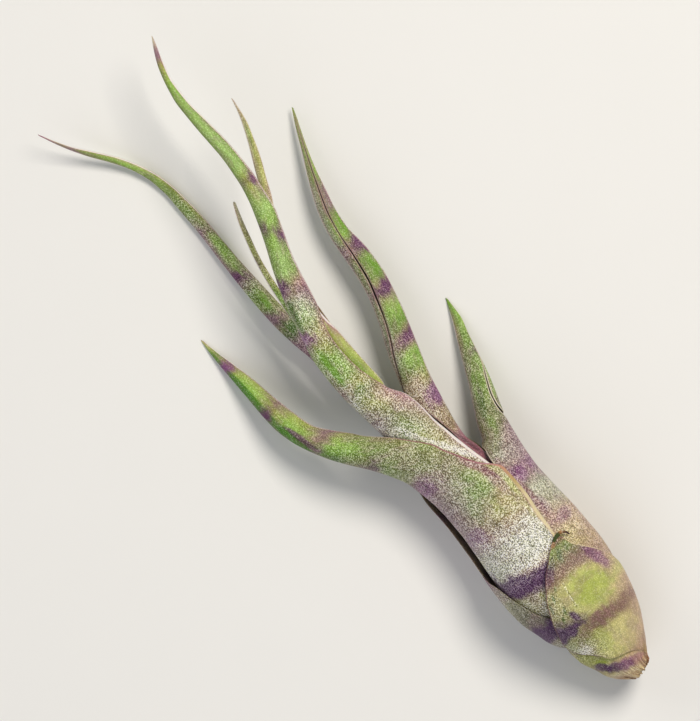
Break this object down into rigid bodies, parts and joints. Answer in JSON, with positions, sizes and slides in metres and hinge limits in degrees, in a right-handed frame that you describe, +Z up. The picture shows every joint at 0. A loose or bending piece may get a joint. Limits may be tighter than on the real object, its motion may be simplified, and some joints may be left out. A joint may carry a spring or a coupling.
{
  "type": "medusas head air plant",
  "caption": "Bulbous air plant lying on its side: an egg-shaped base of wrapped leaf bases and long, rolled, wandering green blades with purple bands and a silvery bloom.",
  "frame": {"origin": "on the surface that the plant lies on, under the middle of its outline seen from above", "axes": "+X from the torn stem towards the leaf tips, +Z up from the surface, +Y to the plant's left seen from above with the tips ahead"},
  "size_m": [0.1513, 0.042, 0.0229],
  "materials": {
    "silvery_sheath": "dry outer scale, yellow-olive with purple bands under a dense white bloom of tiny scales",
    "banded_green_leaf": "matt green leaf with purple cross bands, white specks and thin pale margins",
    "dry_brown_tissue": "withered papery brown tissue"
  },
  "bodies": {
    "root": {"stem_stub": "dry_brown_tissue", "scale_dry_tip": "dry_brown_tissue", "basal_collar": "silvery_sheath", "basal_scale": "silvery_sheath", "leaf_left_long": "banded_green_leaf", "leaf_front_left": "banded_green_leaf", "leaf_right_low": "banded_green_leaf", "leaf_centre": "banded_green_leaf", "leaf_right_channelled": "banded_green_leaf", "leaf_inner_thin": "banded_green_leaf", "leaf_inner_short": "banded_green_leaf"}
  },
  "joints": []
}
